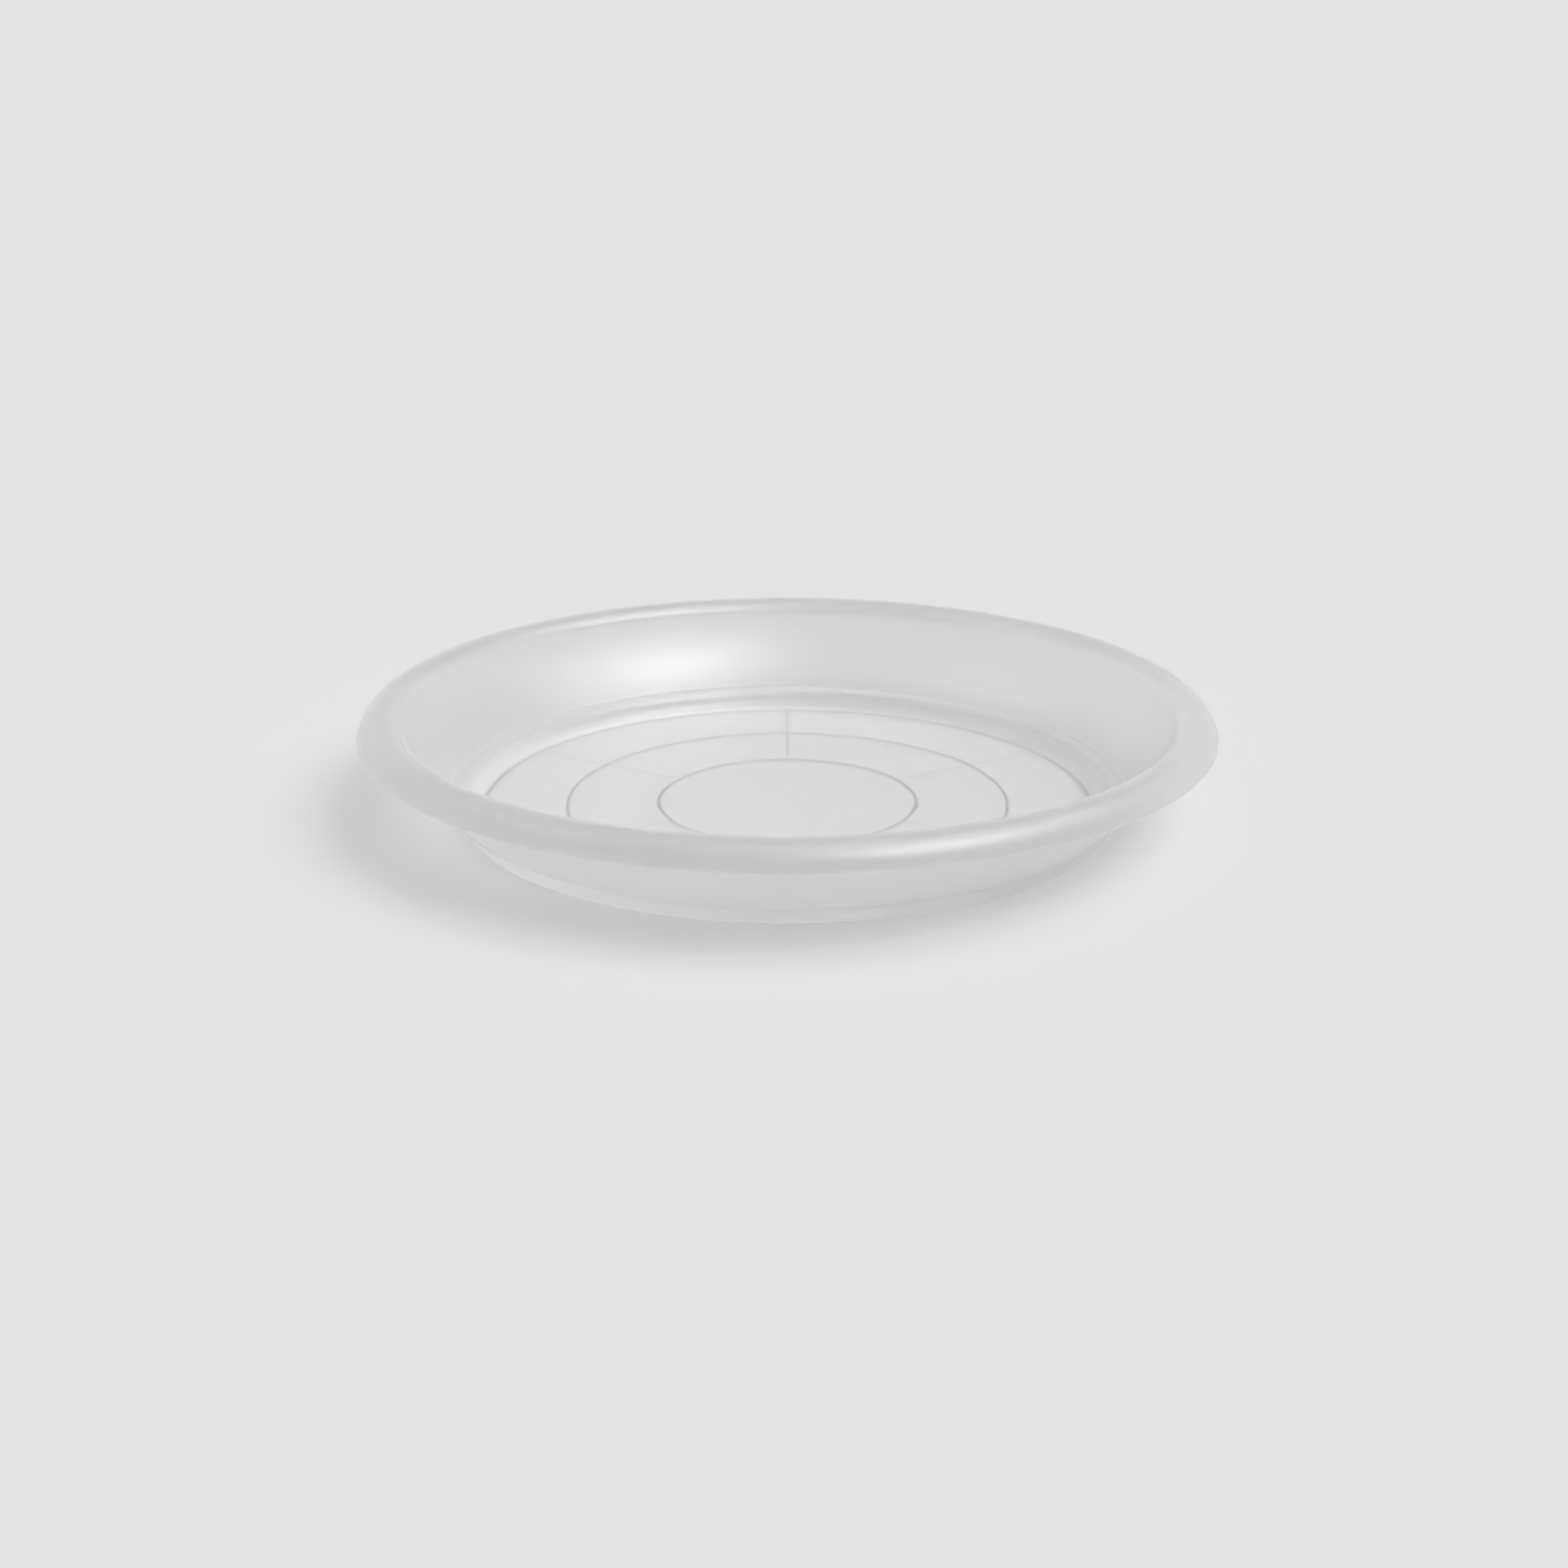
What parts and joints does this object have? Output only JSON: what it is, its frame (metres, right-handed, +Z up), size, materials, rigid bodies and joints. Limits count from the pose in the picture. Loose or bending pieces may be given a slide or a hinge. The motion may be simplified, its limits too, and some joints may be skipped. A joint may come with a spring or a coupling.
{
  "type": "plant saucer",
  "caption": "Shallow round drip saucer for a plant pot: bowl-shaped wall with a rolled rim, stepped foot and flat floor stiffened by ring and radial ribs underneath.",
  "frame": {"origin": "on the ground, under the middle of the round floor", "axes": "+Z up along the saucer's axis of revolution; a radial rib lies on +Y"},
  "size_m": [0.2198, 0.2198, 0.0283],
  "materials": {
    "milky_plastic": "milky translucent polypropylene, fine satin moulded surface"
  },
  "bodies": {
    "root": {"saucer": "milky_plastic"}
  },
  "joints": []
}
